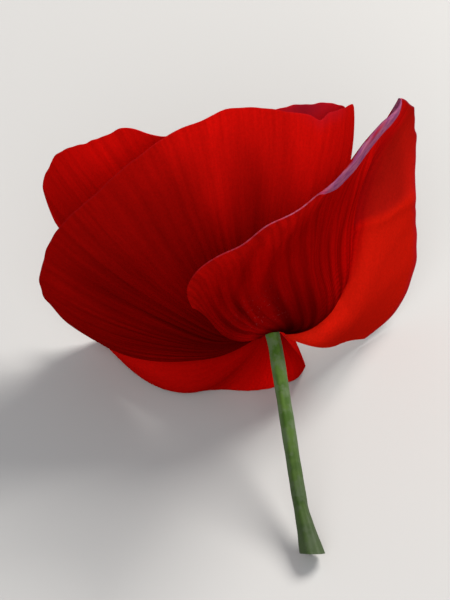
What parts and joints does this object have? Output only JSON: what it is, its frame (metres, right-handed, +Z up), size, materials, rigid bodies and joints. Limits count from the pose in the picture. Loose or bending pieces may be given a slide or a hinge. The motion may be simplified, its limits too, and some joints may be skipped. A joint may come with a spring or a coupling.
{
  "type": "poppy flower",
  "caption": "Cut poppy flower lying on its side, with ruffled red petals round a rayed seed head and dark stamens, on a short stem.",
  "frame": {"origin": "middle of the footprint on the surface that the flower lies on", "axes": "+Y from the cut end of the stem towards the open side of the flower, +Z up from the surface, +X to the right of +Y"},
  "size_m": [0.0698, 0.0738, 0.0633],
  "materials": {
    "stem": "green living stem, slightly mottled",
    "petal": "thin translucent red petal with fine pleats",
    "seed_head": "green capsule with velvety dark rays",
    "stamens": "violet-black, dusty"
  },
  "bodies": {
    "root": {"stem": "stem", "petal_right": "petal", "petal_left": "petal", "petal_back": "petal", "petal_under": "petal", "seed_head": "seed_head", "stamens": "stamens"}
  },
  "joints": []
}
